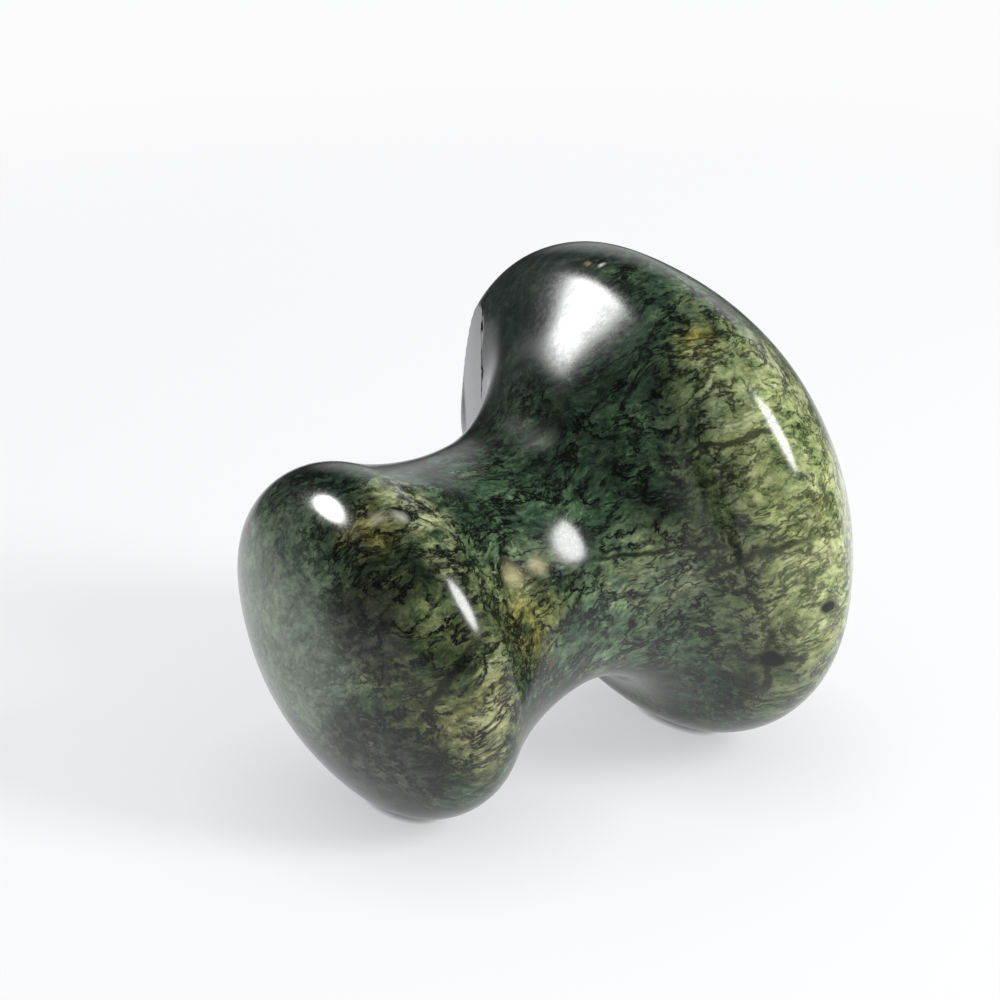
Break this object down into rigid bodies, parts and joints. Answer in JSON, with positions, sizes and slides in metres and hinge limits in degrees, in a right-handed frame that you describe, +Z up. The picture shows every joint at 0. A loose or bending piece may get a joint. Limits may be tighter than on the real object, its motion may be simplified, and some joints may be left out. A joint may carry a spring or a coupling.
{
  "type": "gua sha massage stone",
  "caption": "Mushroom-shaped gua sha massage stone: a broad polished dome and a smaller dome at the two ends of a hollowed neck that fingers pinch.",
  "frame": {"origin": "on the table, at the centre of the box round the stone as it lies on the rims of its two heads", "axes": "+Z up from the table; +X towards the large head, under the stone's own axis, which rises 13 degrees from +X; +Y to the left of +X"},
  "size_m": [0.0458, 0.04, 0.0392],
  "materials": {
    "polished_jade": "hand-polished to a gloss, dark green mottled with olive and black veins"
  },
  "bodies": {
    "root": {"massage_stone": "polished_jade"}
  },
  "joints": []
}
